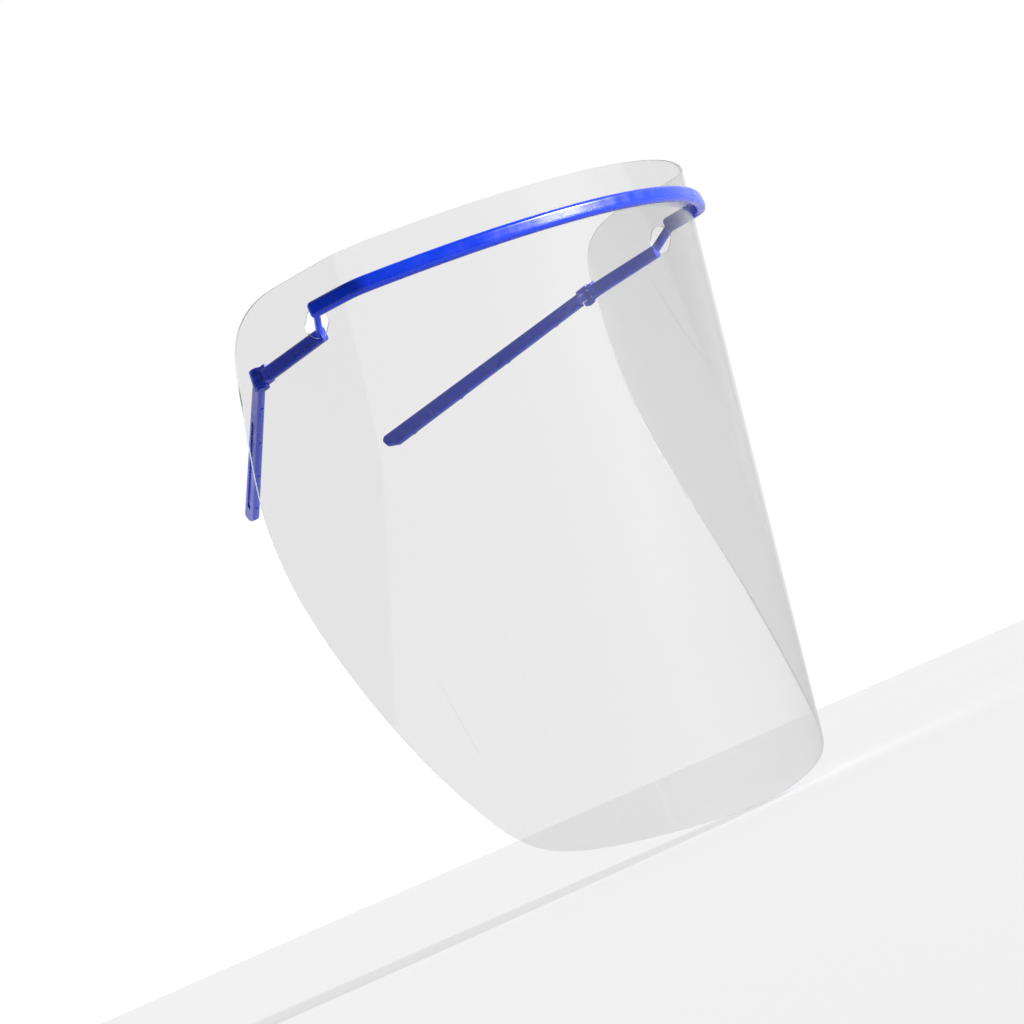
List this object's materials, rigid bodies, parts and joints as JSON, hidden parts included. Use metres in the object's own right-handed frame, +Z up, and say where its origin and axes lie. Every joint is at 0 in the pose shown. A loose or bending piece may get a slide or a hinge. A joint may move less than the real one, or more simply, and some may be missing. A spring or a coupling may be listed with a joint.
{
  "type": "face shield",
  "caption": "Face shield with a moulded spectacle-type frame, folding temples and a clear curved film visor held at round holes.",
  "frame": {"origin": "midway between the two front corners of the frame, at the middle of the brow bar's height, where the brow is", "axes": "+Z up along the standing visor, +Y to the rear along the open temples, +X to the wearer's left"},
  "size_m": [0.1624, 0.1482, 0.1559],
  "materials": {
    "frame_plastic": "semi-gloss moulded blue plastic",
    "pin_plastic": "dark blue plastic pin",
    "clear_film": "clear flexible plastic sheet, polished"
  },
  "bodies": {
    "frame": {"front_frame": "frame_plastic", "right_hinge_pin": "pin_plastic", "left_hinge_pin": "pin_plastic", "visor_film": "clear_film"},
    "right_temple_arm": {"right_temple": "frame_plastic"},
    "left_temple_arm": {"left_temple": "frame_plastic"}
  },
  "joints": [
    {"name": "right_temple_fold", "type": "hinge", "parent": "frame", "child": "right_temple_arm", "pos_m": [0.0693, 0.0421, -0.0069], "axis": [-0.2756, 0.1155, 0.9543], "range_deg": [0, 76]},
    {"name": "left_temple_fold", "type": "hinge", "parent": "frame", "child": "left_temple_arm", "pos_m": [-0.0693, 0.0421, -0.0069], "axis": [0.2756, 0.1155, 0.9543], "range_deg": [-45, 39.1]}
  ]
}
